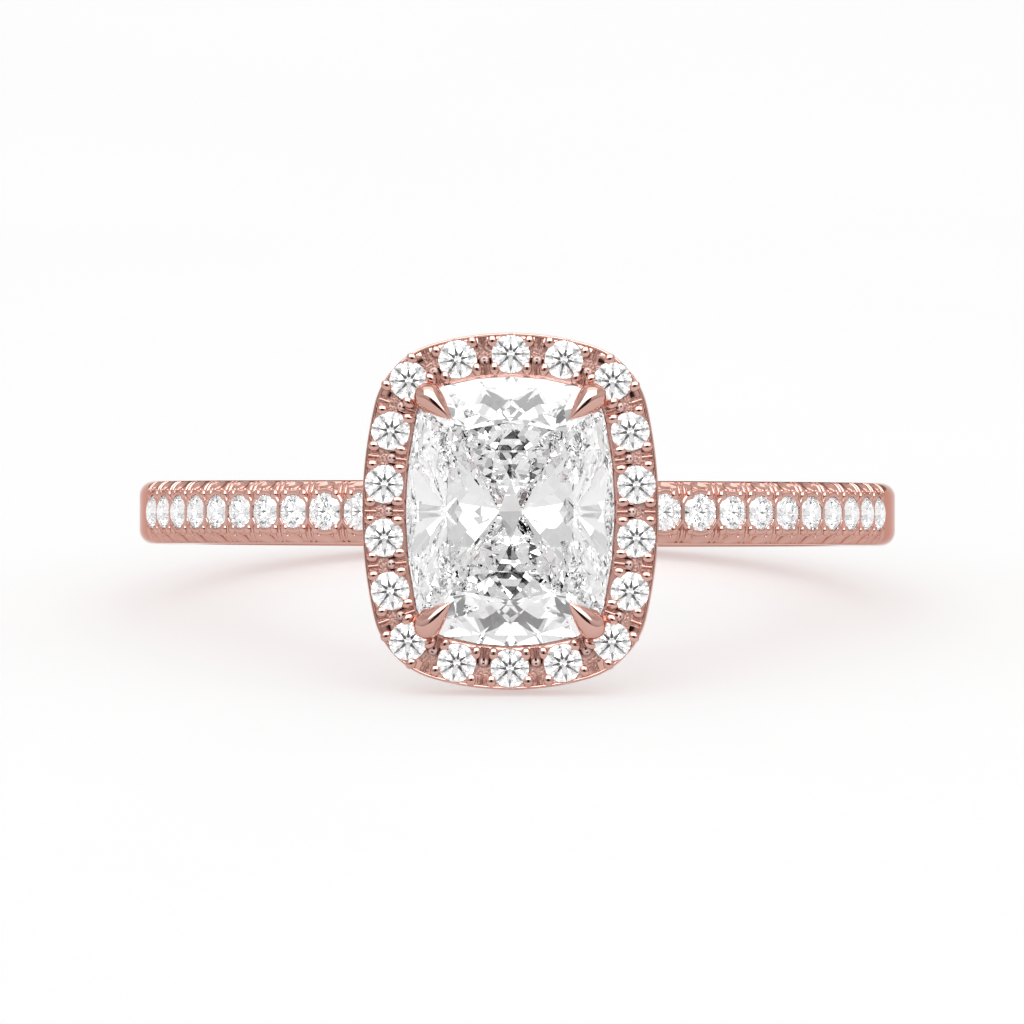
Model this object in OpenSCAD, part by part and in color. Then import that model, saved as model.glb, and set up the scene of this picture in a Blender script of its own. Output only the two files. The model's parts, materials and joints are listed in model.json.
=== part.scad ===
// Halo ring with an elongated cushion stone, a halo of round stones and a pavé band.
// It lies on its side, resting on the halo's lower edge and on the back of the band.
// All sizes are in millimetres, angles in degrees.

/* [Finger and band] */
// Inside diameter of the ring, a finger size of 6.5
finger_d = 16.9; // [15:0.1:21]
// Thickness of the band from the finger to its outer face
band_t = 1.55; // [1.4:0.05:2]
// Width of the band along the finger
band_w = 1.66; // [1.6:0.02:2.2]
// Rounding of the band's two outer edges
band_edge_r = 0.38; // [0.28:0.01:0.42]
// Rounding of the band's two inner edges
band_inner_r = 0.15; // [0.08:0.01:0.25]

/* [Stones in the band] */
// Stones on each side of the head
band_stones = 10; // [3:1:12]
// How many of them, next to the head, have the larger size
shoulder_stones = 2; // [0:1:3]
// Diameter of the larger stones next to the head
shoulder_stone_d = 1.0; // [0.9:0.01:1.05]
// Diameter of the other stones in the band
band_stone_d = 0.9; // [0.8:0.01:1]
// Space between two neighbouring girdles in the band
band_space = 0.055; // [0.04:0.005:0.15]
// Turn from the head's axis to the first stone on each side
band_start = 23.7; // [22:0.1:35]
// Radius of the round notches between the stones, along the band's outer edges
notch_r = 0.12; // [0.1:0.01:0.16]
// How deep those notches cut into the band's rounded edges
notch_depth = 0.1; // [0.06:0.01:0.12]

/* [Center stone] */
// Width of the center stone across the finger
stone_w = 5.52; // [5:0.02:6.4]
// Length of the center stone along the finger
stone_l = 7.12; // [6.6:0.02:8]
// Radius of its gently bowed long sides
stone_side_r = 11.4; // [9:0.1:16]
// Radius of its bowed short ends
stone_end_r = 6.25; // [5:0.05:8]
// Radius of its rounded corners
stone_corner_r = 1.05; // [0.85:0.05:1.3]
// Height of the crown from the girdle to the table
crown_h = 0.78; // [0.6:0.02:1]
// Thickness of the girdle
girdle_t = 0.08; // [0.05:0.01:0.12]
// Depth of the pavilion from the girdle to its keel
pavilion_h = 2.55; // [2.2:0.05:2.65]
// Length of the keel, the ridge across the finger in which the pavilion ends
keel_l = 0.6; // [0.4:0.02:0.9]
// Width of the table, between its two side corners
table_w = 3.4; // [2.8:0.05:3.6]
// Length of the table, between its two end corners
table_l = 4.72; // [4.2:0.02:4.8]
// Share of the way out to the stone's corners at which the table's diagonal corners lie
table_corner = 0.69; // [0.6:0.01:0.72]

/* [Halo] */
// Round stones in the halo
halo_stones = 18; // [14:2:18]
// Diameter of the halo's stones
halo_stone_d = 1.02; // [0.9:0.01:1.12]
// Width of the halo from the center stone's girdle to its outer edge
halo_w = 1.16; // [1.12:0.01:1.3]
// Distance from the halo's outer edge to the row of stones
halo_row_in = 0.56; // [0.5:0.01:0.58]
// How much further out the stones in the four corners stand
halo_corner_out = 0.04; // [0:0.01:0.06]
// Thickness of the halo
halo_t = 1.05; // [0.9:0.05:1.3]
// Drop from the center stone's girdle to the halo's top face
halo_drop = 0.15; // [0.12:0.01:0.3]
// How far the halo reaches in under the center stone's girdle
halo_lip = 0.1; // [0.06:0.01:0.14]
// Width of the cross grooves between the halo's stones
groove_w = 0.2; // [0.1:0.01:0.24]
// Depth of those grooves
groove_depth = 0.12; // [0.06:0.01:0.2]

/* [Beads] */
// Radius of the beads that hold the halo's stones
bead_r = 0.14; // [0.11:0.01:0.15]
// Radius of the beads that hold the band's stones
band_bead_r = 0.11; // [0.09:0.01:0.13]
// Height of a bead's top over the metal's face
bead_h = 0.14; // [0.1:0.01:0.18]
// How far a girdle lies below the metal's face
stone_sink = 0.02; // [0.01:0.01:0.04]
// Gap kept between each stone and its seat
seat_gap = 0.02; // [0.015:0.005:0.03]

/* [Head] */
// Height of the center stone's girdle over the band's outer face
head_h = 2.8; // [2.75:0.05:3.4]
// Radius of the round end of each claw
claw_r = 0.36; // [0.3:0.01:0.4]
// Length of each claw from its round end's centre to its tip
claw_l = 0.86; // [0.7:0.02:1]
// Height of the round end's centre over the girdle
claw_rise = 0.27; // [0.2:0.01:0.32]
// Radius of the claw's wire where it leaves the band
foot_r = 0.3; // [0.25:0.01:0.34]
// Distance of the wires' feet from the head's axis, across the finger
foot_x = 0.85; // [0.6:0.05:1.2]
// Distance of the wires' feet from the head's axis, along the finger
foot_y = 0.42; // [0.35:0.01:0.45]
// Height of the gallery rail over the band's outer face
rail_h = 0.5; // [0.4:0.05:0.6]
// Height of the rail's own bar
rail_t = 0.4; // [0.3:0.05:0.6]
// Width that the rail's bar takes on each side of the wires, before it is drawn in
rail_w = 0.3; // [0.2:0.02:0.4]

/* [Hidden] */
$fn = 48;
rose = "#D8A190";
clear = "#E9EEF2";

// Shares of a round brilliant's diameter
round_crown = 0.15;
round_girdle = 0.03;
round_pavilion = 0.43;
round_table = 0.56;
// Where a star facet's tip lies between the table's edge and the girdle
star_share = 0.5;
// Radius at which the lower halves meet, as a share of the girdle's
lower_share = 0.24;
// Main facets round a stone, and half the turn between two of them
mains = 8;
half_turn = 180 / mains;

// Height of the center stone's star tips, as a share of the crown's, and their way out to the girdle
star_rise = 0.55;
star_out = 0.82;
// The pavilion's rows of tips, from the girdle down: their way out to the outline and their
// depth as shares of the whole, and where they stand along a quarter of the outline, in arcs
pavilion_rows = [
    [0.84, 0.26, [0.5, 1.5, 2.5]],
    [0.66, 0.47, [0, 1, 2, 3]],
    [0.46, 0.66, [0.5, 1.5, 2.5]],
    [0.24, 0.84, [0, 1.5, 3]]
];

// Turn of a stone's beads from the line across its row
halo_bead_turn = 50;
band_bead_turn = 58;
// Distance of a bead's centre from the stone's edge
bead_out = 0.05;
// Length of the notches in the band's edges
notch_l = 1.2;

// Points on each arc of the cushion outline
arc_steps = 8;
// Rise of a seat's straight wall over the girdle, before it follows the crown
seat_lip = 0.04;
// How far a claw's wire stands outside the center stone's corner
claw_out = 0.04;
claw_turn = 45;
claw_tip_r = 0.05;
claw_tip_rise = 0.6;
claw_neck_r = 0.33;
// Width of the teardrop where it leaves its round end, as a share of that end's
claw_slim = 0.97;
// Points on each arc of the center stone's seat
seat_steps = 4;
// Cutters run this much past the faces that they open
past = 0.2;
// Guards a length that ends a quarter of the row against rounding
tiny = 0.0001;
// Sides of the turned band and of a bead, where they are drawn as meshes
band_sides = 180;
bead_sides = 24;

finger_r = finger_d / 2;
band_r = finger_r + band_t;
girdle_h = band_r + head_h;
halo_top = girdle_h - halo_drop;
halo_under = halo_top - halo_t;
rail_mid = band_r + rail_h;

// Centres of the three kinds of arc in the cushion outline
half_w = stone_w / 2;
half_l = stone_l / 2;
side_x = half_w - stone_side_r;
end_y = half_l - stone_end_r;
side_to_corner = stone_side_r - stone_corner_r;
end_to_corner = stone_end_r - stone_corner_r;
centres_apart = norm([side_x, end_y]);
along = (centres_apart ^ 2 + side_to_corner ^ 2 - end_to_corner ^ 2) / (2 * centres_apart);
across = sqrt(side_to_corner ^ 2 - along ^ 2);
toward_end = [-side_x, end_y] / centres_apart;
corner = [side_x, 0] + along * toward_end + across * [-toward_end[1], toward_end[0]];
// Half angles of the side arcs and of the end arcs
side_deg = atan2(corner[1], corner[0] - side_x);
end_deg = atan2(corner[0], corner[1] - end_y);

// Pose at rest: the tangent from the halo's lower edge to the back of the band
halo_half_l = half_l + halo_w;
back_y = band_r - band_edge_r;
back_z = band_w / 2 - band_edge_r;
reach = [halo_under + back_y, halo_half_l - back_z];
rest_tilt = atan2(reach[1], reach[0]) - asin(band_edge_r / norm(reach));
centre_height = halo_half_l * cos(rest_tilt) - halo_under * sin(rest_tilt);
back_end = back_y * cos(rest_tilt) + back_z * sin(rest_tilt) + band_edge_r;
claw_front = (girdle_h + claw_rise) * cos(rest_tilt) + claw_at(claw_out)[1] * sin(rest_tilt) + claw_r;
table_front = (girdle_h + crown_h) * cos(rest_tilt) + table_l / 2 * sin(rest_tilt);
front_end = max(claw_front, table_front);

// The first quarter of the cushion outline, grown by t, with n steps on each arc
function quarter(t, n = arc_steps) = concat(
    [for (i = [0 : n - 1]) let (a = side_deg * i / n)
        [side_x, 0] + (stone_side_r + t) * [cos(a), sin(a)]],
    [for (i = [0 : n - 1]) let (a = side_deg + (90 - end_deg - side_deg) * i / n)
        corner + (stone_corner_r + t) * [cos(a), sin(a)]],
    [for (i = [0 : n]) let (a = 90 - end_deg + end_deg * i / n)
        [0, end_y] + (stone_end_r + t) * [cos(a), sin(a)]]
);

// A closed outline from its first quarter, anticlockwise
function whole(q) = let (n = len(q)) concat(
    q,
    [for (i = [n - 2 : -1 : 0]) [-q[i][0], q[i][1]]],
    [for (i = [1 : n - 1]) [-q[i][0], -q[i][1]]],
    [for (i = [n - 2 : -1 : 1]) [q[i][0], -q[i][1]]]
);

function outline(t, n = arc_steps) = whole(quarter(t, n));

// The same points at the height z, drawn in to the shares w of the width and l of the length
function level(points, w, l, z) = [for (p = points) [p[0] * w, p[1] * l, z]];

// Where a claw stands: the outline's corner, moved out by t
function claw_at(t) = corner + (stone_corner_r + t) * [cos(claw_turn), sin(claw_turn)];

// Lengths of the halo's row of stones along its arcs, for one quarter
row = halo_w - halo_row_in;
row_end = (stone_end_r + row) * end_deg * PI / 180;
row_corner = (stone_corner_r + row) * (90 - end_deg - side_deg) * PI / 180;
row_side = (stone_side_r + row) * side_deg * PI / 180;
row_quarter = row_end + row_corner + row_side;
row_pitch = 4 * row_quarter / halo_stones;

// Place and outward turn at the length s along the row's first quarter, from the end's middle
function row_first(s, out) =
    s <= row_end ? let (a = 90 - s / (stone_end_r + row) * 180 / PI)
        [[0, end_y] + (stone_end_r + row) * [cos(a), sin(a)], a] :
    s <= row_end + row_corner ? let (a = 90 - end_deg - (s - row_end) / (stone_corner_r + row) * 180 / PI)
        [corner + (stone_corner_r + row + out) * [cos(a), sin(a)], a] :
    let (a = (row_quarter - s) / (stone_side_r + row) * 180 / PI)
        [[side_x, 0] + (stone_side_r + row) * [cos(a), sin(a)], a];

// The same for any length, clockwise round the whole row
function row_place(s, out = 0) = let (q = floor(s / row_quarter + tiny))
    q == 0 ? row_first(s, out) :
    q == 1 ? let (p = row_first(2 * row_quarter - s, out)) [[p[0][0], -p[0][1]], -p[1]] :
    q == 2 ? let (p = row_first(s - 2 * row_quarter, out)) [-p[0], p[1] + 180] :
    let (p = row_first(4 * row_quarter - s, out)) [[-p[0][0], p[0][1]], 180 - p[1]];

// Extra distance outwards of the halo's stone k, where it stands in a corner
function corner_out(k) = let (s = abs(k * row_pitch % (2 * row_quarter) - row_quarter))
    abs(row_quarter - s - row_end - row_corner / 2) < row_pitch / 2 ? halo_corner_out : 0;

function band_d(i) = i < shoulder_stones ? shoulder_stone_d : band_stone_d;

// Turn from the head's axis to the band's stone i on one side
function band_turn(i) = i == 0 ? band_start :
    band_turn(i - 1) + ((band_d(i - 1) + band_d(i)) / 2 + band_space) / (band_r - stone_sink) * 180 / PI;

// The wire's foot inside the band, its end at the stone's corner and the claw's tip
foot = [foot_x, foot_y, band_r - foot_r];
claw_end = [claw_at(claw_out)[0], claw_at(claw_out)[1], girdle_h + claw_rise];
claw_tip = [claw_at(claw_out - claw_l)[0], claw_at(claw_out - claw_l)[1], girdle_h + claw_tip_rise];
rail_at = foot + (claw_end - foot) * (rail_mid - foot[2]) / (claw_end[2] - foot[2]);

function two(i) = i < 10 ? str("0", i) : str(i);

// Lays the ring on its side, with the finger's axis near Z and the head towards -Y
module laid() {
    translate([0, (front_end - back_end) / 2, centre_height])
        rotate([-rest_tilt, 0, 0])
            children();
}

// Head frame: Z is the height over the ring's centre and Y runs along the finger
module on_head() {
    rotate([90, 0, 0]) children();
}

// Stone frame on the band: Z points out of the ring's centre, turned by t from the head
module on_band(t) {
    rotate([0, 0, t]) on_head() translate([0, 0, band_r]) children();
}

// Stone frame on the halo, at the length s along the row, with X pointing outwards
module on_halo(s, out = 0) {
    p = row_place(s, out);
    translate([p[0][0], p[0][1], halo_top]) rotate([0, 0, p[1]]) children();
}

// The four corners of the head, as mirrored copies of the first one
module four_corners() {
    for (x = [0, 1], y = [0, 1]) mirror([x, 0, 0]) mirror([0, y, 0]) children();
}

// A straight tapered wire from p to q
module wire(p, q, r1, r2) {
    v = q - p;
    translate(p)
        rotate([0, acos(v[2] / norm(v)), atan2(v[1], v[0])])
            cylinder(h = norm(v), r1 = r1, r2 = r2);
}

// A brilliant's facets. Its rings of points, from the table down: the table's corners, the
// star tips, the girdle's top and bottom edges, which both have more points, and the tips of
// the lower halves. The girdle's first point lies under the table's first corner.
module brilliant(table, stars, girdle, girdle_depth, lowers, culet) {
    n = len(table);
    m = len(girdle);
    span = m / n;
    star_at = n;
    top_at = 2 * n;
    low_at = top_at + m;
    lower_at = low_at + m;
    culet_at = lower_at + n;
    points = concat(table, stars, girdle, [for (p = girdle) p - [0, 0, girdle_depth]], lowers, [culet]);
    table_face = [for (k = [n - 1 : -1 : 0]) k];
    star_faces = [for (k = [0 : n - 1]) [k, (k + 1) % n, star_at + k]];
    bezels = [for (k = [0 : n - 1], half = [0, 1]) half == 0 ?
        [k, star_at + k, top_at + span * k] :
        [k, top_at + span * k, star_at + (k + n - 1) % n]];
    upper_halves = [for (k = [0 : n - 1], j = [span * k : span * (k + 1) - 1])
        [star_at + k, top_at + (j + 1) % m, top_at + j]];
    girdle_faces = [for (j = [0 : m - 1], half = [0, 1]) half == 0 ?
        [top_at + j, top_at + (j + 1) % m, low_at + j] :
        [top_at + (j + 1) % m, low_at + (j + 1) % m, low_at + j]];
    lower_halves = [for (k = [0 : n - 1], j = [span * k : span * (k + 1) - 1])
        [lower_at + k, low_at + j, low_at + (j + 1) % m]];
    pavilion_mains = [for (k = [0 : n - 1], half = [0, 1]) half == 0 ?
        [low_at + span * k, lower_at + k, culet_at] :
        [low_at + span * k, culet_at, lower_at + (k + n - 1) % n]];
    polyhedron(points, concat([table_face], star_faces, bezels, upper_halves,
        girdle_faces, lower_halves, pavilion_mains));
}

// A ring of n points of the radius r at the height z, the first one turned by a
function circle_points(n, r, a, z) =
    [for (k = [0 : n - 1]) let (t = a + 360 * k / n) [r * cos(t), r * sin(t), z]];

// Radius and height of a round stone's star tips, where its girdle has the radius r
function star_r(r) = r * (star_share + (1 - star_share) * round_table * cos(half_turn));
function star_z(r) = 2 * round_crown * (r - star_r(r) * cos(half_turn)) / (1 - round_table);

// A round brilliant with its girdle's top at z = 0 and its table up
module round_brilliant(d) {
    r = d / 2;
    lower_z = -d * round_girdle - d * round_pavilion * (1 - lower_share * cos(half_turn));
    brilliant(
        circle_points(mains, r * round_table, 0, d * round_crown),
        circle_points(mains, star_r(r), half_turn, star_z(r)),
        circle_points(2 * mains, r, 0, 0),
        d * round_girdle,
        circle_points(mains, r * lower_share, half_turn, lower_z),
        [0, 0, -d * (round_girdle + round_pavilion)]
    );
}

// Points in one quarter of the center stone's plan, mirrored into the other three
function mirrored(points) = [for (x = [1, -1], y = [1, -1], p = points) [x * p[0], y * p[1], p[2]]];

// The center stone with its girdle's top at z = 0: the convex solid through its facets' corners
module cushion_brilliant() {
    q = quarter(0);
    girdle = [for (u = [0, 0.5, 1, 1.25, 1.5, 1.75, 2, 2.5, 3]) q[u * arc_steps]];
    corners = mirrored(concat(
        level([[table_w / 2, 0], q[1.5 * arc_steps] * table_corner, [0, table_l / 2]], 1, 1, crown_h),
        level([q[arc_steps], q[2 * arc_steps]], star_out, star_out, crown_h * star_rise),
        level(girdle, 1, 1, 0),
        level(girdle, 1, 1, -girdle_t),
        [for (row = pavilion_rows, u = row[2]) concat(q[u * arc_steps] * row[0], -girdle_t - pavilion_h * row[1])],
        [[keel_l / 2, 0, -girdle_t - pavilion_h]]
    ));
    hull() polyhedron(corners, [[for (i = [0 : len(corners) - 1]) i]]);
}

// What a round stone's seat takes out of the metal, as one turned profile
module round_seat(d) {
    r = d / 2;
    crown = d * round_crown;
    slope = 2 * round_pavilion;
    low = -d * round_girdle - seat_gap * norm([1, slope]);
    rotate_extrude() polygon([
        [0, low - d * round_pavilion],
        [r + seat_gap, low + seat_gap * slope],
        [r + seat_gap, seat_lip],
        [star_r(r) + seat_gap, star_z(r) + seat_lip],
        [r * round_table + seat_gap, crown + seat_lip],
        [0, crown + seat_lip]
    ]);
}

// What the center stone's seat takes out of the halo's lip, the claws, their wires and the rail
module cushion_seat() {
    plan = outline(seat_gap, seat_steps);
    low = -girdle_t - seat_gap;
    loft(concat(
        [for (i = [len(pavilion_rows) - 1 : -1 : 0]) let (row = pavilion_rows[i])
            level(plan, row[0], row[0], low - pavilion_h * row[1])],
        [level(plan, 1, 1, low), level(plan, 1, 1, seat_gap),
        level(plan, table_corner + seat_gap, table_corner + seat_gap, crown_h + seat_gap)]
    ));
}

// A closed skin over rings of points, from the lowest ring to the highest
module loft(rings) {
    n = len(rings[0]);
    top = len(rings) - 1;
    sides = [for (k = [0 : top - 1], j = [0 : n - 1], half = [0, 1]) let (next = (j + 1) % n) half == 0 ?
        [(k + 1) * n + j, (k + 1) * n + next, k * n + j] :
        [(k + 1) * n + next, k * n + next, k * n + j]];
    polyhedron(
        [for (ring = rings, p = ring) p],
        concat([[for (j = [0 : n - 1]) j]], [[for (j = [n - 1 : -1 : 0]) top * n + j]], sides)
    );
}

module band_blank() {
    w = band_w / 2;
    rotate_extrude($fn = band_sides) {
        translate([finger_r + band_inner_r, -w]) square([band_t - band_inner_r - band_edge_r, band_w]);
        translate([finger_r, band_inner_r - w]) square([band_t / 2, band_w - 2 * band_inner_r]);
        translate([finger_r + band_t / 2, band_edge_r - w]) square([band_t / 2, band_w - 2 * band_edge_r]);
        for (y = [-1, 1]) {
            translate([band_r - band_edge_r, y * (w - band_edge_r)]) circle(band_edge_r);
            translate([finger_r + band_inner_r, y * (w - band_inner_r)]) circle(band_inner_r);
        }
    }
}

module halo_blank() {
    translate([0, 0, halo_under]) linear_extrude(halo_t) difference() {
        polygon(outline(halo_w));
        polygon(outline(-halo_lip));
    }
}

// The rail passes through the four wires, so its shape follows their places at its height
module gallery_rail() {
    share = [rail_at[0] / claw_at(0)[0], rail_at[1] / claw_at(0)[1]];
    translate([0, 0, rail_mid - rail_t / 2]) linear_extrude(rail_t) difference() {
        polygon([for (p = outline(rail_w)) [p[0] * share[0], p[1] * share[1]]]);
        polygon([for (p = outline(-rail_w)) [p[0] * share[0], p[1] * share[1]]]);
    }
}

// One claw: its wire from the band and its teardrop over the center stone's corner
module claw() {
    wire(foot, claw_end, foot_r, claw_neck_r);
    translate(claw_end) sphere(claw_r);
    wire(claw_end, claw_tip, claw_r * claw_slim, claw_tip_r);
}

module beads(d, turn, r, h) {
    for (a = [turn, 180 - turn, 180 + turn, -turn])
        rotate([0, 0, a]) translate([d / 2 + bead_out, 0, h - r]) sphere(r, $fn = bead_sides);
}

module halo_groove() {
    rotate([90, 0, 90]) linear_extrude(2 * halo_w, center = true)
        polygon([[-groove_w / 2, past], [-groove_w / 2, 0], [0, -groove_depth], [groove_w / 2, 0], [groove_w / 2, past]]);
}

// A pair of round notches over the band's two outer edges
module edge_notches() {
    side = band_w / 2 - band_edge_r;
    out = band_edge_r + notch_r - notch_depth;
    for (y = [0, 1]) mirror([0, y, 0])
        translate([0, side + out * cos(45), out * cos(45) - band_edge_r])
            rotate([45, 0, 0]) cylinder(h = notch_l, r = notch_r, center = true);
}

// The band with its beads, seats and notches
module set_band() {
    difference() {
        union() {
            band_blank();
            for (i = [0 : band_stones - 1], side = [-1, 1])
                on_band(side * band_turn(i)) beads(band_d(i), band_bead_turn, band_bead_r, bead_h);
        }
        for (i = [0 : band_stones - 1], side = [-1, 1]) {
            on_band(side * band_turn(i)) translate([0, 0, -stone_sink]) round_seat(band_d(i));
            on_band(side * (band_turn(i) + band_turn(i + 1)) / 2) edge_notches();
        }
    }
}

// The halo with its beads, seats and grooves, the gallery rail and the four claws
module set_head() {
    difference() {
        union() {
            halo_blank();
            gallery_rail();
            four_corners() claw();
            for (k = [0 : halo_stones - 1])
                on_halo(k * row_pitch, corner_out(k)) beads(halo_stone_d, halo_bead_turn, bead_r, bead_h);
        }
        translate([0, 0, girdle_h]) cushion_seat();
        for (k = [0 : halo_stones - 1]) {
            on_halo(k * row_pitch, corner_out(k)) translate([0, 0, -stone_sink]) round_seat(halo_stone_d);
            on_halo((k + 0.5) * row_pitch) halo_groove();
        }
    }
}

module ring_metal() {
    color(rose) laid() {
        set_band();
        on_head() set_head();
    }
}

module center_stone() {
    color(clear) laid() on_head() translate([0, 0, girdle_h]) cushion_brilliant();
}

module halo_stone(k) {
    color(clear) laid() on_head()
        on_halo(k * row_pitch, corner_out(k)) translate([0, 0, -stone_sink]) round_brilliant(halo_stone_d);
}

module band_stone(i, side) {
    color(clear) laid()
        on_band(side * band_turn(i)) translate([0, 0, -stone_sink]) round_brilliant(band_d(i));
}

ring_metal();
center_stone();
for (i = [1 : halo_stones])
    halo_stone(i - 1);
for (i = [1 : band_stones])
    band_stone(i - 1, 1);
for (i = [1 : band_stones])
    band_stone(i - 1, -1);
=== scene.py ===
# A rose gold halo ring, lying on its side on a pale floor under soft studio light.
import json
import math

import bpy
from mathutils import Matrix, Vector


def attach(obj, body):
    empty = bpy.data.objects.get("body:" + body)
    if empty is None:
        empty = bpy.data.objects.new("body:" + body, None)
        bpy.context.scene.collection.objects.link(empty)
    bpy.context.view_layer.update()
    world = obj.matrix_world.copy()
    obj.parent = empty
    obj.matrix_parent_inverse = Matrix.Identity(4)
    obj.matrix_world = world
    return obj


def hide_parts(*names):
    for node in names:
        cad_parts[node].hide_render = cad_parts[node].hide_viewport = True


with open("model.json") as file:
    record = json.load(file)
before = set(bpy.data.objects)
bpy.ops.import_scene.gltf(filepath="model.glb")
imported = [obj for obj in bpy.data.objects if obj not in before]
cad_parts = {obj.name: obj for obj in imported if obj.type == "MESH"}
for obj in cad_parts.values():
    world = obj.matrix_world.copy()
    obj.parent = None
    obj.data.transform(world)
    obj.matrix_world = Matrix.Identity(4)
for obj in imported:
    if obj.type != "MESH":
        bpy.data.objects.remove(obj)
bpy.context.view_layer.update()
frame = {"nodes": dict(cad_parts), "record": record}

# Sizes in millimetres, and turns in degrees
MM = 0.001

# Band: its section, then the grooves, dishes and dents over its outer edges
BAND_T = 1.55
BAND_W = 1.66
BAND_EDGE_R = 0.38
BAND_INNER_R = 0.15
BAND_SKIN = 0.005
BAND_STEPS = 360
GROOVE_R = 0.05
GROOVE_APART = 0.08
GROOVE_SPAN = 75
GROOVE_START = 0.1
DISH_R = 0.5
DISH_DEPTH = 0.07
DENT_R = 0.06
DENT_DEPTH = 0.04
DENT_TURN = 25
DENTS_ALONG = (-0.2, -0.07, 0.07, 0.2)

# Center stone's outline, and the stones' seats
STONE_W = 5.52
STONE_L = 7.12
STONE_SIDE_R = 11.4
STONE_END_R = 6.25
STONE_CORNER_R = 1.05
HALO_STONE_D = 1.02
STONE_SINK = 0.02
SEAT_GAP = 0.02
SEAT_LIP = 0.04
SEAT_OPEN = 0.2
SEAT_TIP_R = 0.02
SEAT_SIDES = 48

# Halo: its section and both rims
HALO_W = 1.16
HALO_T = 1.05
HALO_DROP = 0.15
HALO_LIP = 0.1
HALO_SINK = 0.02
HALO_BOW = 0.05
BOW_STEPS = 12
RIM_W = 0.08
RIM_R = 0.035
INNER_RIM_W = 0.03
INNER_RIM_DROP = 0.05
INNER_RIM_R = 0.03
INNER_LEDGE = 0.02
INNER_LEDGE_DROP = 0.07
OUTLINE_STEPS = 24

# What lies in each gap of the halo: along X from the gap's middle, outwards or inwards
BED_DEPTH = 0.15
BED_T = 0.04
PIT = (-0.08, 0.21)
PIT_W = 0.5
SLOT_W = 0.085
SLOT_APART = 0.075
OUTER_SLOT = (0.19, 0.47)
INNER_SLOT = (0.04, 0.53)
SLOT_DEPTH = 0.17
RIB_R = 0.035
RIB_DROP = 0.06
OUTER_RIB = (0.19, 0.5)
INNER_RIB = (0.25, 0.54)
CUT_ABOVE = 0.1

# Oval domes: how far out and along from the middle of a stone or gap, half sizes, and drop
OUTER_TAB = {"at": (0.34, 0.49), "size": (0.155, 0.135, 0.07), "drop": 0.01}
INNER_TAB = {"at": (0.39, 0.43), "size": (0.18, 0.135, 0.08), "drop": 0.01}
BAND_TAB = {"at": (0.45, 0.3), "size": (0.15, 0.13, 0.1), "drop": 0.04}
PIP = {"at": (0.14, 0), "size": (0.12, 0.14, 0.07), "drop": 0.09}

# Collars round the band's stones, and how much larger than a stone its room is
COLLAR_R = 0.08
COLLAR_OUT = 0.05
COLLAR_DROP = 0.05
ROUND_ROOM_SHARE = 1.03
ROOM_SHARE = 1.008

# Head: its height over the band, claws, wires and rail
HEAD_H = 2.8
CLAW_R = 0.37
CLAW_L = 0.79
CLAW_RISE = 0.27
CLAW_OUT = -0.02
CLAW_TIP_RISE = 0.6
CLAW_TIP_R = 0.05
CLAW_TAPER = 1.5
CLAW_BACK_STEPS = 8
CLAW_FRONT_STEPS = 13
WIRE_R = 0.3
WIRE_NECK_R = 0.33
FOOT_X = 0.85
FOOT_Y = 0.42
RAIL_H = 0.5
RAIL_T = 0.4
RAIL_W = 0.3
RAIL_R = 0.12

# Shares of a round stone's diameter
ROUND_CROWN = 0.15
ROUND_GIRDLE = 0.03
ROUND_PAVILION = 0.43
ROUND_TABLE = 0.56

# Where the ring lies, from the mount of its finger hole
bore = next(m for m in frame["record"]["mounts"] if m["name"] == "finger_bore")
FINGER_R = bore["dims"]["r_mm"]
BAND_R = FINGER_R + BAND_T
GIRDLE_H = BAND_R + HEAD_H
HALO_TOP = GIRDLE_H - HALO_DROP
HALO_UNDER = HALO_TOP - HALO_T
TILT = math.atan2(bore["axis"][1], bore["axis"][2])
RING = Matrix.Translation(bore["pos_m"]) @ Matrix.Rotation(-TILT, 4, "X") @ Matrix.Scale(MM, 4)
HEAD = RING @ Matrix.Rotation(math.pi / 2, 4, "X")
HEAD_AXES = [axis.normalized() for axis in HEAD.to_3x3().col]

# The three kinds of arc in the center stone's outline
SIDE_X = STONE_W / 2 - STONE_SIDE_R
END_Y = STONE_L / 2 - STONE_END_R
SIDE_TO_CORNER = STONE_SIDE_R - STONE_CORNER_R
END_TO_CORNER = STONE_END_R - STONE_CORNER_R
APART = math.hypot(SIDE_X, END_Y)
ALONG = (APART**2 + SIDE_TO_CORNER**2 - END_TO_CORNER**2) / (2 * APART)
ACROSS = math.sqrt(SIDE_TO_CORNER**2 - ALONG**2)
CORNER = Vector((
    SIDE_X - (ALONG * SIDE_X + ACROSS * END_Y) / APART,
    (ALONG * END_Y - ACROSS * SIDE_X) / APART,
    0,
))
SIDE_TURN = math.atan2(CORNER.y, CORNER.x - SIDE_X)
END_TURN = math.atan2(CORNER.x, CORNER.y - END_Y)

# The photo's view of the ring
PIXELS = 1024
PIXELS_PER_MM = 37.8
VIEW_TURN = 0.86
VIEW_RISE = 10.1
VIEW_LEFT = 0.14
VIEW_UP = 0.04
CAMERA_FAR = 0.3

# Brightness of the studio: its walls by the way across the head, its front by the way up it
FULL = 3.0
WALLS = [
    (0.0, 0.55), (0.2, 0.7), (0.35, 0.8), (0.5, 0.85), (0.66, 0.85),
    (0.7, 0.65), (0.8, 0.7), (0.86, 0.85), (1.0, 0.75),
]
FRONT = [
    (0.0, 0.7), (0.36, 0.55), (0.44, 0.5), (0.5, 0.6), (0.56, 0.75),
    (0.7, 0.9), (0.78, 0.5), (0.9, 0.8), (1.0, 0.9),
]
FLOOR_GLOW = 0.45

# Rose gold: its two tones, and what it shows at a glance along its face
DEEP_TONE = (0.62, 0.37, 0.315)
LIGHT_TONE = (0.68, 0.41, 0.355)
EDGE_TONE = (0.75, 0.5, 0.44, 1)
WHITE = (1, 1, 1, 1)

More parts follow.
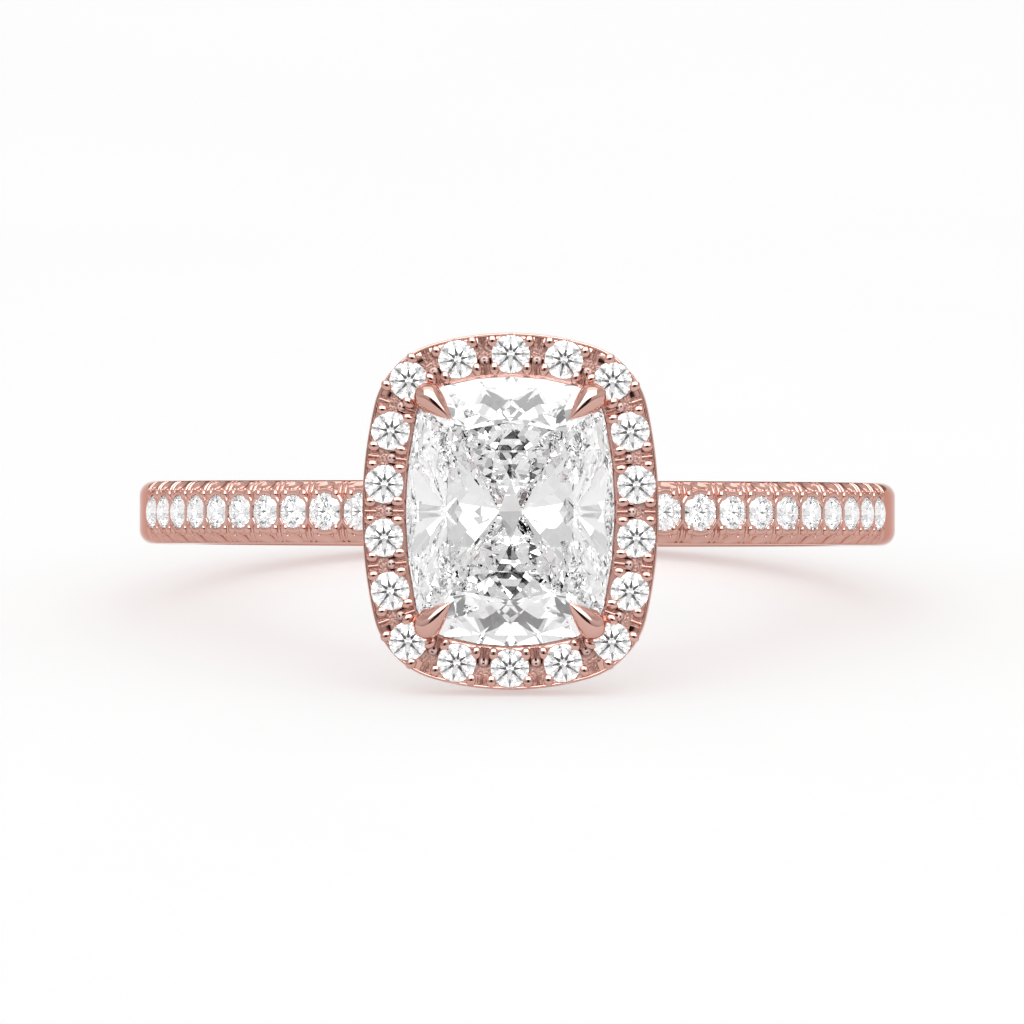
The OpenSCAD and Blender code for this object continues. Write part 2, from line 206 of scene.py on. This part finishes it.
# Soft panels: what they show in, way from the head, width, height and brightness
PANELS = [
    ("metal", (0, 0.6, 0.8), 0.3, 0.18, 3.6),
    ("metal", (0, 0.78, -0.6), 0.3, 0.1, 1.5),
    ("metal", (0, 0.95, 0.3), 0.3, 0.12, 1.15),
    ("stones", (0, 0.5, 0.86), 0.2, 0.06, 3.0),
    ("stones", (-0.6, 0.1, 0.8), 0.08, 0.15, 2.4),
    ("stones", (0.6, 0.1, 0.8), 0.08, 0.15, 2.4),
]
PANEL_FAR = 0.25


class Signal:
    """A shader socket that Python's own operators work on."""

    def __init__(self, tree, socket):
        self.tree = tree
        self.socket = socket

    def math(self, operation, first, second):
        return self.tree.node("Math", {"operation": operation}, {0: first, 1: second})

    def __add__(self, other):
        return self.math("ADD", self, other)

    def __radd__(self, other):
        return self.math("ADD", other, self)

    def __sub__(self, other):
        return self.math("SUBTRACT", self, other)

    def __rsub__(self, other):
        return self.math("SUBTRACT", other, self)

    def __mul__(self, other):
        return self.math("MULTIPLY", self, other)

    def __rmul__(self, other):
        return self.math("MULTIPLY", other, self)


class Tree:
    """A node tree that takes nodes by their type, settings and inputs."""

    def __init__(self, tree):
        self.tree = tree

    def node(self, kind, settings=None, inputs=None, output=0):
        made = self.tree.nodes.new("ShaderNode" + kind)
        for name, value in (settings or {}).items():
            if name == "stops":
                self.set_stops(made.color_ramp.elements, value)
            else:
                setattr(made, name, value)
        for name, value in (inputs or {}).items():
            self.feed(made.inputs[name], value)
        return Signal(self, made.outputs[output])

    def set_stops(self, elements, stops):
        while len(elements) < len(stops):
            elements.new(1)
        for element, (position, shade) in zip(elements, stops):
            element.position = position
            element.color = (*shade, 1) if isinstance(shade, tuple) else (shade, shade, shade, 1)

    def feed(self, socket, value):
        if isinstance(value, Signal):
            self.tree.links.new(value.socket, socket)
        else:
            socket.default_value = value


class Finish(Tree):
    """A material under construction, with its Principled shader."""

    def __init__(self, name):
        self.material = bpy.data.materials.new(name)
        self.material.use_nodes = True
        super().__init__(self.material.node_tree)
        self.shader = self.material.node_tree.nodes["Principled BSDF"]

    def set(self, **inputs):
        for name, value in inputs.items():
            self.feed(self.shader.inputs[name.replace("_", " ")], value)


def rose_gold(name, polish, grain, depth, painted_sheen=1.0):
    """Rose gold with a slow drift of its redness. Its marks have the height of the grain in millimetres,
    and darken it by the depth where they are deepest, as painted shade in their hollows. A glow over 1
    makes it paler, as a painted sheen."""
    gold = Finish(name)
    place = gold.node("TexCoord", output="Object")
    drift = gold.node("TexNoise", {}, {"Vector": place, "Scale": 260, "Detail": 2})
    marks = gold.node("TexNoise", {}, {"Vector": place, "Scale": 20000, "Detail": 3})
    tone = gold.node("ValToRGB", {"stops": [(0.35, DEEP_TONE), (0.65, LIGHT_TONE)]}, {0: drift})
    # Painted shade: the colour darkens by the depth where the grain's marks are deepest
    painted_hollow_shade = gold.node("ValToRGB", {"stops": [(0.38, 1.0 - depth), (0.62, 1.0)]}, {0: marks})
    # Painted sheen: a glow over 1 mixes the tone toward white
    lift = gold.node("Mix", {"data_type": "RGBA"}, {0: painted_sheen - 1.0, 6: tone, 7: WHITE}, output=2)
    metal = gold.node("VectorMath", {"operation": "MULTIPLY"}, {0: lift, 1: painted_hollow_shade})
    rounded = gold.node("Bevel", {"samples": 4}, {"Radius": 0.02 * MM})
    marked = {"Height": marks, "Strength": 1.0, "Distance": grain * MM, "Normal": rounded}
    bump = gold.node("Bump", {}, marked)
    gold.set(Base_Color=metal, Metallic=1.0, Roughness=polish + marks * 0.06, Normal=bump,
             Specular_Tint=EDGE_TONE)
    return gold.material


def clear_stone():
    """A colourless cut stone with a diamond's refraction and a trace of polish."""
    stone = Finish("clear_stone")
    place = stone.node("TexCoord", output="Object")
    cloud = stone.node("TexNoise", {}, {"Vector": place, "Scale": 900, "Detail": 1})
    tint = stone.node("ValToRGB", {"stops": [(0.3, (0.985, 0.988, 1.0)), (0.7, 1.0)]}, {0: cloud})
    stone.set(Base_Color=tint, Roughness=0.0, IOR=2.42, Transmission_Weight=1.0)
    return stone.material


def alone(piece):
    """Selects this piece only, and makes it the active one."""
    bpy.ops.object.select_all(action="DESELECT")
    piece.hide_set(False)
    piece.select_set(True)
    bpy.context.view_layer.objects.active = piece


def edit(piece):
    alone(piece)
    bpy.ops.object.mode_set(mode="EDIT")


def done():
    bpy.ops.object.mode_set(mode="OBJECT")


def choose(piece, test):
    """Selects, in edit mode, the vertices whose place passes the test."""
    bpy.ops.mesh.select_all(action="DESELECT")
    done()
    for vertex in piece.data.vertices:
        vertex.select = test(vertex.co)
    bpy.ops.object.mode_set(mode="EDIT")


def modify(piece, kind, **settings):
    """Adds a modifier with these settings and applies it."""
    alone(piece)
    modifier = piece.modifiers.new(kind.lower(), kind)
    for name, value in settings.items():
        setattr(modifier, name, value)
    bpy.ops.object.modifier_apply(modifier=modifier.name)


def cut(piece, cutter):
    modify(piece, "BOOLEAN", operation="DIFFERENCE", solver="MANIFOLD", object=cutter)
    bpy.data.objects.remove(cutter)


def joined(pieces, name):
    bpy.ops.object.select_all(action="DESELECT")
    for piece in pieces:
        piece.select_set(True)
    bpy.context.view_layer.objects.active = pieces[0]
    bpy.ops.object.join()
    pieces[0].name = name
    return pieces[0]


def copies(pattern, places, name):
    """Puts a copy of the pattern, with its own mesh, at each place and joins them."""
    made = []
    for place in places:
        copy = pattern.copy()
        copy.data = pattern.data.copy()
        bpy.context.collection.objects.link(copy)
        copy.data.transform(place)
        made.append(copy)
    bpy.data.objects.remove(pattern)
    return joined(made, name)


def point(name):
    """A new mesh of one vertex at the origin, in edit mode."""
    bpy.ops.object.select_all(action="DESELECT")
    bpy.ops.mesh.primitive_plane_add(size=1)
    piece = bpy.context.object
    piece.name = name
    bpy.ops.object.mode_set(mode="EDIT")
    bpy.ops.mesh.merge(type="CENTER")
    return piece


def drawn(name, points):
    """A flat face through the points, extruded one after the other, left in edit mode."""
    piece = point(name)
    bpy.ops.transform.translate(value=points[0])
    for start, end in zip(points, points[1:]):
        step = Vector(end) - Vector(start)
        bpy.ops.mesh.extrude_region_move(TRANSFORM_OT_translate={"value": step})
    bpy.ops.mesh.select_all(action="SELECT")
    bpy.ops.mesh.edge_face_add()
    return piece


def round_corners(piece, test, radius, segments):
    """Rounds the corners of a flat face that pass the test, in edit mode."""
    choose(piece, test)
    bpy.ops.mesh.bevel(offset=radius, segments=segments, affect="VERTICES", clamp_overlap=False)


def outline_only():
    """Leaves only the selected face's edges, all selected."""
    bpy.ops.mesh.select_all(action="SELECT")
    bpy.ops.mesh.delete(type="ONLY_FACE")
    bpy.ops.mesh.select_all(action="SELECT")


def cleaned(piece):
    """Merges what coincides, turns the faces outwards and leaves edit mode."""
    bpy.ops.mesh.select_all(action="SELECT")
    bpy.ops.mesh.remove_doubles(threshold=0.0001)
    bpy.ops.mesh.normals_make_consistent(inside=False)
    done()
    return piece


def ringed(name, rings, sides):
    """A closed round form along Z: a disc pulled out from ring to ring of (height, radius)."""
    bpy.ops.object.select_all(action="DESELECT")
    height, radius = rings[0]
    bpy.ops.mesh.primitive_circle_add(vertices=sides, radius=radius, fill_type="NGON", location=(0, 0, 0))
    piece = bpy.context.object
    piece.name = name
    bpy.ops.object.mode_set(mode="EDIT")
    bpy.ops.transform.translate(value=(0, 0, height))
    for (low, before), (high, after) in zip(rings, rings[1:]):
        bpy.ops.mesh.extrude_region_move(TRANSFORM_OT_translate={"value": (0, 0, high - low)})
        share = after / before
        bpy.ops.transform.resize(value=(share, share, 1), center_override=(0, 0, high))
    return cleaned(piece)


def swept(name, section, steps, shaped=None):
    """A frame along the cushion outline: its section is spun round the outline's arcs, then mirrored."""
    piece = drawn(name, [(STONE_W / 2 + out, 0, height) for out, height in section])
    if shaped:
        shaped(piece)
    outline_only()
    for turn, centre in ((SIDE_TURN, (SIDE_X, 0, 0)),
                         (math.pi / 2 - END_TURN - SIDE_TURN, CORNER),
                         (END_TURN, (0, END_Y, 0))):
        bpy.ops.mesh.spin(steps=steps, angle=-turn, center=centre, axis=(0, 0, 1))
    done()
    modify(piece, "MIRROR", use_axis=(True, True, False), merge_threshold=0.0005)
    edit(piece)
    return cleaned(piece)


def seat(d):
    """What a round stone's seat takes out of the metal, with the metal's face at z = 0."""
    r = d / 2
    slope = 2 * ROUND_PAVILION
    low = -d * ROUND_GIRDLE - SEAT_GAP * math.hypot(1, slope)
    crown = d * ROUND_CROWN
    rings = [
        (low - d * ROUND_PAVILION, SEAT_TIP_R),
        (low + SEAT_GAP * slope, r + SEAT_GAP),
        (SEAT_LIP, r + SEAT_GAP),
        (crown + SEAT_LIP, r * ROUND_TABLE + SEAT_GAP),
        (crown + SEAT_OPEN, r * ROUND_TABLE + SEAT_GAP),
    ]
    return ringed("seat", [(height - STONE_SINK, radius) for height, radius in rings], SEAT_SIDES)


def tab(shape):
    """A low oval dome, drawn out along X."""
    bpy.ops.object.select_all(action="DESELECT")
    bpy.ops.mesh.primitive_uv_sphere_add(segments=32, ring_count=16, radius=1, scale=shape["size"])
    piece = bpy.context.object
    bpy.ops.object.transform_apply(location=True, rotation=True, scale=True)
    return piece


def tabs(places, shape, turn, name):
    """The tabs on one side of each place, the side being given by a turn about the place's axis."""
    x, y = shape["at"]
    side = Matrix.Rotation(turn, 4, "Z")
    ways = (1, -1) if y else (1,)
    offsets = [side @ Matrix.Translation((x, way * y, -shape["drop"])) for way in ways]
    return copies(tab(shape), [place @ offset for place in places for offset in offsets], name)


def box(x, y, z):
    """A block between these limits along each axis."""
    bpy.ops.object.select_all(action="DESELECT")
    limits = (x, y, z)
    bpy.ops.mesh.primitive_cube_add(size=1, location=[(low + high) / 2 for low, high in limits],
                                    scale=[high - low for low, high in limits])
    piece = bpy.context.object
    bpy.ops.object.transform_apply(location=True, rotation=True, scale=True)
    return piece


def room(nodes, place, share):
    """The room that cut stones take in the metal: their own forms, each a little larger."""
    made = []
    for name in nodes:
        stone = frame["nodes"][name]
        copy = stone.copy()
        copy.data = stone.data.copy()
        bpy.context.collection.objects.link(copy)
        copy.data.transform(place.inverted() @ stone.matrix_world)
        copy.matrix_world = Matrix.Identity(4)
        middle = Matrix.Translation(stone_middle(name, place))
        copy.data.transform(middle @ Matrix.Scale(share, 4) @ middle.inverted())
        made.append(copy)
    whole = joined(made, "room")
    edit(whole)
    return cleaned(whole)


def ribs(places, span, turn, drop, name):
    """Thin bars across the gaps between stones, along X from the gap's middle."""
    start, end = span
    bpy.ops.object.select_all(action="DESELECT")
    bpy.ops.mesh.primitive_cylinder_add(vertices=16, radius=RIB_R, depth=end - start,
                                        rotation=(0, math.pi / 2, 0), location=((start + end) / 2, 0, -drop))
    rib = bpy.context.object
    bpy.ops.object.transform_apply(location=True, rotation=True, scale=True)
    return copies(rib, [place @ Matrix.Rotation(turn, 4, "Z") for place in places], name)


def stone_middle(node, place):
    """Middle of a cut stone, in the frame of this place, in millimetres."""
    vertices = frame["nodes"][node].data.vertices
    middle = sum((v.co for v in vertices), Vector()) / len(vertices)
    return place.inverted() @ middle


def numbered(start):
    return sorted(n for n in frame["nodes"] if n.startswith(start))


def band_places(start):
    """Turn from the head's axis of each stone on one side of the band."""
    turns = []
    for node in numbered(start):
        middle = stone_middle(node, RING)
        turns.append(math.atan2(middle.x, -middle.y))
    return turns


def on_band(turn):
    """A place on the band's outside: X along the band, Y across it, Z outwards."""
    facing_out = Matrix.Rotation(turn, 4, "Z") @ Matrix.Rotation(math.pi / 2, 4, "X")
    return facing_out @ Matrix.Translation((0, 0, BAND_R))


def halo_places():
    """Place of each halo stone on the halo's top face, with X pointing outwards."""
    middles = [stone_middle(node, HEAD) for node in numbered("halo_stone")]
    places = []
    for i, middle in enumerate(middles):
        chord = middles[(i + 1) % len(middles)] - middles[i - 1]
        turn = math.atan2(chord.x, -chord.y)
        places.append(Matrix.Translation((middle.x, middle.y, HALO_TOP)) @ Matrix.Rotation(turn, 4, "Z"))
    return places


def settle(piece, place, finish, angle=35):
    """Lays a finished piece where the ring lies and gives it its finish and body."""
    alone(piece)
    piece.matrix_world = place @ piece.matrix_world
    bpy.ops.object.transform_apply(location=True, rotation=True, scale=True)
    bpy.ops.object.shade_smooth_by_angle(angle=math.radians(angle))
    piece.data.materials.clear()
    piece.data.materials.append(finish)
    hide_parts("ring_metal")
    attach(piece, "root")
    piece.visible_transmission = False


def make_band(turns, sizes):
    """The band: a rounded section spun round the finger, with its seats and engraving cut."""
    w = BAND_W / 2
    outer = BAND_R - BAND_SKIN
    band = drawn("band", [(FINGER_R, 0, -w), (outer, 0, -w), (outer, 0, w), (FINGER_R, 0, w)])
    round_corners(band, lambda co: co.x > outer - 0.01, BAND_EDGE_R, 9)
    round_corners(band, lambda co: co.x < FINGER_R + 0.01, BAND_INNER_R, 5)
    outline_only()
    bpy.ops.mesh.spin(steps=BAND_STEPS, angle=2 * math.pi, center=(0, 0, 0), axis=(0, 0, 1))
    cleaned(band)
    for side in turns:
        for size in sorted(set(sizes[side])):
            places = [on_band(t) for t, d in zip(turns[side], sizes[side]) if d == size]
            cut(band, copies(seat(size), places, "seats"))
        cut(band, edge_grooves(turns[side]))
        cut(band, edge_dishes(turns[side]))
        cut(band, edge_dents(turns[side]))
    return band


def gaps(turns):
    """Turns to the middles of the gaps between neighbouring stones, and past the last one."""
    step = turns[-1] - turns[-2]
    return [(a + b) / 2 for a, b in zip(turns, turns[1:])] + [turns[-1] + step / 2]


def edge_grooves(turns):
    """A pair of fine grooves over both outer edges, in each gap between the stones."""
    bpy.ops.object.select_all(action="DESELECT")
    side = BAND_W / 2 - BAND_EDGE_R
    bpy.ops.mesh.primitive_circle_add(vertices=12, radius=GROOVE_R, fill_type="NGON",
                                      rotation=(math.pi / 2, 0, 0), location=(0, side - GROOVE_START, 0))
    groove = bpy.context.object
    bpy.ops.object.transform_apply(location=True, rotation=True, scale=True)
    edit(groove)
    bpy.ops.mesh.select_all(action="SELECT")
    bpy.ops.mesh.extrude_region_move(TRANSFORM_OT_translate={"value": (0, GROOVE_START, 0)})
    bpy.ops.mesh.spin(steps=16, angle=math.radians(GROOVE_SPAN), center=(0, side, -BAND_EDGE_R),
                      axis=(1, 0, 0))
    cleaned(groove)
    flip = Matrix.Diagonal((1, -1, 1, 1))
    places = [on_band(t) @ Matrix.Translation((way * GROOVE_APART, 0, 0)) @ m
              for t in gaps(turns) for way in (1, -1) for m in (Matrix.Identity(4), flip)]
    grooves = copies(groove, places, "grooves")
    edit(grooves)
    return cleaned(grooves)


def edge_dishes(turns):
    """Balls that sink a shallow dish into both outer edges beside each stone."""
    bpy.ops.object.select_all(action="DESELECT")
    bpy.ops.mesh.primitive_uv_sphere_add(segments=64, ring_count=32, radius=DISH_R)
    ball = bpy.context.object
    side = BAND_W / 2 - BAND_EDGE_R
    out = (BAND_EDGE_R + DISH_R - DISH_DEPTH) * math.sqrt(0.5)
    places = [on_band(t) @ Matrix.Translation((0, way * (side + out), out - BAND_EDGE_R))
              for t in turns for way in (1, -1)]
    return copies(ball, places, "dishes")


def edge_dents(turns):
    """Small balls that sink a row of dents into both outer edges beside each stone."""
    bpy.ops.object.select_all(action="DESELECT")
    bpy.ops.mesh.primitive_uv_sphere_add(segments=16, ring_count=8, radius=DENT_R)
    ball = bpy.context.object
    lean = math.radians(DENT_TURN)
    out = BAND_EDGE_R - BAND_SKIN + DENT_R - DENT_DEPTH
    across = BAND_W / 2 - BAND_EDGE_R + out * math.sin(lean)
    places = [on_band(t) @ Matrix.Translation((along, way * across, out * math.cos(lean) - BAND_EDGE_R))
              for t in turns for way in (1, -1) for along in DENTS_ALONG]
    return copies(ball, places, "dents")


def collars(turns, sizes):
    """A round bar about each stone of the band, half sunk in the metal."""
    made = []
    for side in turns:
        for t, d in zip(turns[side], sizes[side]):
            bpy.ops.object.select_all(action="DESELECT")
            bpy.ops.mesh.primitive_torus_add(major_segments=48, minor_segments=12,
                                             major_radius=d / 2 + COLLAR_OUT, minor_radius=COLLAR_R)
            collar = bpy.context.object
            collar.data.transform(on_band(t) @ Matrix.Translation((0, 0, -COLLAR_DROP)))
            made.append(collar)
    return joined(made, "band_collars")


def band_details(turns, sizes):
    """The band's tabs and collars, cut to its stones."""
    quarter = math.pi / 2
    stones = [on_band(t) for side in turns for t in turns[side]]
    nodes = [name for side in turns for name in numbered(side)]
    pieces = [
        joined([tabs(stones, BAND_TAB, turn, "tabs") for turn in (quarter, -quarter)], "band_tabs"),
        collars(turns, sizes),
    ]
    for piece in pieces:
        cut(piece, room(nodes, RING, ROUND_ROOM_SHARE))
    return pieces


def make_halo(places):
    """The halo: a bowed ring with a rim along both edges, and pits and slots between its stones."""
    inner_top = HALO_TOP - INNER_RIM_DROP
    outer, inner = HALO_W - RIM_W, INNER_RIM_W
    bow = []
    for i in range(BOW_STEPS + 1):
        share = i / BOW_STEPS
        fall = HALO_SINK + HALO_BOW * (2 * share - 1)**2
        bow.append((outer + (inner - outer) * share, HALO_TOP - fall))
    section = [
        (-HALO_LIP, HALO_UNDER),
        (HALO_W, HALO_UNDER),
        (HALO_W, HALO_TOP),
        (outer, HALO_TOP),
        *bow,
        (inner, inner_top),
        (-INNER_LEDGE, inner_top),
        (-HALO_LIP, inner_top - INNER_LEDGE_DROP),
    ]

    def edges(piece):
        side = STONE_W / 2
        bit = 0.001
        round_corners(piece, lambda co: co.x > side + outer - bit and co.z > HALO_TOP - bit, RIM_R, 4)
        round_corners(piece, lambda co: co.x < side + inner + bit and co.z > inner_top - bit, INNER_RIM_R, 3)

    halo = swept("halo", section, OUTLINE_STEPS, edges)
    middles = halo_gaps(places)
    cut(halo, copies(seat(HALO_STONE_D), places, "seats"))
    depth = (-SLOT_DEPTH, CUT_ABOVE)
    cut(halo, copies(box(PIT, (-PIT_W / 2, PIT_W / 2), depth), middles, "pits"))
    slots = []
    for low, high in (OUTER_SLOT, (-INNER_SLOT[1], -INNER_SLOT[0])):
        for way in (1, -1):
            across = sorted((way * (SLOT_APART - SLOT_W / 2), way * (SLOT_APART + SLOT_W / 2)))
            slots.append(box((low, high), across, depth))
    cut(halo, copies(joined(slots, "slots"), middles, "slots"))
    return halo


def make_bed(places):
    """The bottom of the halo's channel, as a skin with a grain-marked finish and painted shade in the grain's
    hollows.
    """
    high = HALO_TOP - BED_DEPTH + BED_T / 2
    edge = HALO_W - RIM_W / 2
    section = [(0, high - BED_T), (edge, high - BED_T), (edge, high), (0, high)]
    bed = swept("halo_bed", section, OUTLINE_STEPS)
    cut(bed, copies(seat(HALO_STONE_D), places, "seats"))
    return bed


def halo_gaps(places):
    """Middles of the gaps between the halo's stones, with X pointing outwards."""
    made = []
    for a, b in zip(places, places[1:] + places[:1]):
        chord = b.translation - a.translation
        turn = math.atan2(chord.x, -chord.y)
        bend = a.to_3x3().col[0].angle(b.to_3x3().col[0])
        bow = Matrix.Translation((chord.length / 2 * math.tan(bend / 4), 0, 0))
        middle = Matrix.Translation((a.translation + b.translation) / 2)
        made.append(middle @ Matrix.Rotation(turn, 4, "Z") @ bow)
    return made


def halo_details(places):
    """The halo's tabs, cut to its stones, and the ribs between the slots."""
    middles = halo_gaps(places)
    held = joined([tabs(places, OUTER_TAB, 0, "tabs"), tabs(places, INNER_TAB, math.pi, "tabs")], "halo_tabs")
    cut(held, room(numbered("halo_stone"), HEAD, ROUND_ROOM_SHARE))
    outer = ribs(middles, OUTER_RIB, 0, RIB_DROP, "ribs")
    inner = ribs(middles, INNER_RIB, math.pi, RIB_DROP, "ribs")
    return [held, joined([outer, inner], "halo_ribs")]


def upright(start, end):
    """The place of a form along Z that runs from start to end, and the distance."""
    way = Vector(end) - Vector(start)
    return Matrix.Translation(start) @ way.to_track_quat("Z", "Y").to_matrix().to_4x4(), way.length


def at_corner(out, height):
    """The place of the claw over the stone's first corner, moved out by this much."""
    r = (STONE_CORNER_R + out) * math.sqrt(0.5)
    return Vector((CORNER.x + r, CORNER.y + r, height))


def four_corners(piece, name):
    flips = [Matrix.Diagonal((x, y, 1, 1)) for x in (1, -1) for y in (1, -1)]
    made = copies(piece, flips, name)
    edit(made)
    return cleaned(made)


def make_claws():
    """Four teardrops over the center stone's corners."""
    start = at_corner(CLAW_OUT, GIRDLE_H + CLAW_RISE)
    end = at_corner(CLAW_OUT - CLAW_L, GIRDLE_H + CLAW_TIP_RISE)
    place, length = upright(start, end)
    back = []
    for i in range(1, CLAW_BACK_STEPS):
        turn = math.pi / 2 * i / CLAW_BACK_STEPS
        back.append((-CLAW_R * math.cos(turn), CLAW_R * math.sin(turn)))
    front = []
    for i in range(CLAW_FRONT_STEPS + 1):
        share = i / CLAW_FRONT_STEPS
        taper = share**CLAW_TAPER
        front.append((share * length, CLAW_R * (1 - taper) + CLAW_TIP_R * taper))
    cap = [(-CLAW_R * 0.999, CLAW_R * 0.05)]
    tip = [(length + CLAW_TIP_R * 0.7, CLAW_TIP_R * 0.7), (length + CLAW_TIP_R, CLAW_TIP_R * 0.2)]
    drop = ringed("claw", cap + back + front + tip, 32)
    drop.data.transform(place)
    claws = four_corners(drop, "claws")
    cut(claws, room(["center_stone"], HEAD, ROOM_SHARE))
    return claws


def make_gallery():
    """The four wires from the band to the claws, and the rail that joins them."""
    foot = Vector((FOOT_X, FOOT_Y, BAND_R - WIRE_R))
    end = at_corner(CLAW_OUT, GIRDLE_H + CLAW_RISE)
    place, length = upright(foot, end)
    wire = ringed("wire", [(0, WIRE_R), (length, WIRE_NECK_R)], 32)
    wire.data.transform(place)
    wires = four_corners(wire, "wires")
    cut(wires, room(["center_stone"], HEAD, ROOM_SHARE))
    rail_mid = BAND_R + RAIL_H
    rail_at = foot + (end - foot) * (rail_mid - foot.z) / (end.z - foot.z)
    stand = at_corner(0, 0)
    low, high = rail_mid - RAIL_T / 2, rail_mid + RAIL_T / 2
    rail = swept("rail", [(-RAIL_W, low), (RAIL_W, low), (RAIL_W, high), (-RAIL_W, high)], 12,
                 lambda piece: round_corners(piece, lambda co: True, RAIL_R, 4))
    rail.data.transform(Matrix.Diagonal((rail_at.x / stand.x, rail_at.y / stand.y, 1, 1)))
    return joined([wires, rail], "gallery")


def round_size(node):
    """Diameter of a round stone in millimetres: its height is a known share of it."""
    middle = stone_middle(node, RING)
    axis = Vector((middle.x, middle.y, 0)).normalized()
    heights = [(RING.inverted() @ v.co).dot(axis) for v in frame["nodes"][node].data.vertices]
    return (max(heights) - min(heights)) / (ROUND_CROWN + ROUND_GIRDLE + ROUND_PAVILION)


def make_ring():
    """All the metal, piece by piece."""
    gold = rose_gold("rose_gold", 0.02, 0.0004, 0.0)
    # The bed's grain is real. Its darkened hollows are painted shade.
    grained_painted_shade = rose_gold("grained_rose_gold", 0.3, 0.02, 0.55)
    # The pips' paler tone is a painted sheen, and their darkened hollows are painted shade
    sparkling = rose_gold("sparkling_rose_gold", 0.6, 0.012, 0.15, 1.3)
    turns = {side: band_places(side) for side in ("right_stone", "left_stone")}
    sizes = {side: [round(round_size(n), 2) for n in numbered(side)] for side in turns}
    places = halo_places()
    settle(make_band(turns, sizes), RING, gold)
    for piece in band_details(turns, sizes):
        settle(piece, RING, gold)
    settle(make_halo(places), HEAD, gold)
    settle(make_bed(places), HEAD, grained_painted_shade)
    settle(tabs(halo_gaps(places), PIP, math.pi, "halo_pips"), HEAD, sparkling)
    for piece in halo_details(places):
        settle(piece, HEAD, gold)
    settle(make_gallery(), HEAD, gold)
    settle(make_claws(), HEAD, gold)


def dress_stones():
    """Gives the frame's own stones their clear material."""
    finish = clear_stone()
    for name, node in frame["nodes"].items():
        if "stone" in name:
            node.material_slots[0].material = finish


def make_floor():
    """A pale floor that glows a little, as under a light table."""
    bpy.ops.object.select_all(action="DESELECT")
    bpy.ops.mesh.primitive_plane_add(size=3)
    floor = bpy.context.object
    floor.name = "floor"
    paper = Finish("pale_floor")
    place = paper.node("TexCoord", output="Object")
    grain = paper.node("TexNoise", {}, {"Vector": place, "Scale": 40, "Detail": 2})
    shade = paper.node("ValToRGB", {"stops": [(0.3, 0.68), (0.7, 0.7)]}, {0: grain})
    paper.set(Base_Color=shade, Roughness=0.9, Emission_Color=WHITE, Emission_Strength=FLOOR_GLOW)
    floor.data.materials.append(paper.material)


def make_light():
    """A grey studio, darker behind the ring, with a dark patch round the camera."""
    world = bpy.data.worlds.new("studio")
    bpy.context.scene.world = world
    world.use_nodes = True
    studio = Tree(world.node_tree)
    way = studio.node("TexCoord", output="Generated")
    across, height, ahead = (
        studio.node("VectorMath", {"operation": "DOT_PRODUCT"}, {0: way, 1: axis}, output="Value")
        for axis in HEAD_AXES
    )
    aside = studio.node("Math", {"operation": "ABSOLUTE"}, {0: across})
    wall_stops, front_stops = ([(at, shade / FULL) for at, shade in stops] for stops in (WALLS, FRONT))
    walls = studio.node("ValToRGB", {"stops": wall_stops}, {0: aside})
    front = studio.node("ValToRGB", {"stops": front_stops}, {0: height * 0.5 + 0.5})
    in_front = studio.node("ValToRGB", {"stops": [(0.3, 0), (0.4, 1)]}, {0: ahead})
    behind = studio.node("ValToRGB", {"stops": [(0.6, 1), (1.0, 0.4)]}, {0: 0.0 - ahead})
    facing = studio.node("ValToRGB", {"stops": [(0.955, 1), (0.968, 0.03)]}, {0: ahead})
    light = (walls + (front - walls) * in_front) * facing * behind
    background = world.node_tree.nodes["Background"]
    studio.feed(background.inputs["Color"], light)
    background.inputs["Strength"].default_value = FULL


def make_panels():
    """Soft panels that leave the floor as it is. Metal and stones each have their own."""
    for shown, way, width, height, brightness in PANELS:
        data = bpy.data.lights.new(shown + "_panel", "AREA")
        data.shape = "RECTANGLE"
        data.size = width
        data.size_y = height
        data.energy = brightness * math.pi * width * height
        panel = bpy.data.objects.new(data.name, data)
        bpy.context.collection.objects.link(panel)
        away = sum((axis * share for axis, share in zip(HEAD_AXES, way)), Vector()).normalized()
        panel.location = Vector(bore["pos_m"]) + away * PANEL_FAR
        panel.rotation_euler = away.to_track_quat("Z", "Y").to_euler()
        panel.visible_camera = False
        panel.visible_diffuse = False
        panel.visible_glossy = shown == "metal"
        panel.visible_transmission = shown == "stones"


def make_camera():
    """A camera straight in front of the head, at the photo's angle and scale."""
    data = bpy.data.cameras.new("camera")
    camera = bpy.data.objects.new("camera", data)
    bpy.context.collection.objects.link(camera)
    turn, rise = math.radians(VIEW_TURN), math.radians(VIEW_RISE)
    away = Vector((math.sin(turn) * math.cos(rise), -math.cos(turn) * math.cos(rise), math.sin(rise)))
    facing = (-away).to_track_quat("-Z", "Y")
    right = facing @ Vector((1, 0, 0))
    up = facing @ Vector((0, 1, 0))
    aim = Vector(bore["pos_m"]) - right * VIEW_LEFT * MM + up * VIEW_UP * MM
    camera.rotation_euler = away.to_track_quat("Z", "Y").to_euler()
    camera.location = aim + away * CAMERA_FAR
    data.type = "ORTHO"
    data.ortho_scale = PIXELS / PIXELS_PER_MM * MM
    bpy.context.scene.camera = camera


def let_light_through():
    """Enough bounces for light that runs between a cut stone's facets."""
    cycles = bpy.context.scene.cycles
    cycles.max_bounces = 24
    cycles.glossy_bounces = 24
    cycles.transmission_bounces = 24
    bpy.context.scene.view_settings.view_transform = "Standard"


make_camera()
make_ring()
dress_stones()
make_floor()
make_light()
make_panels()
let_light_through()
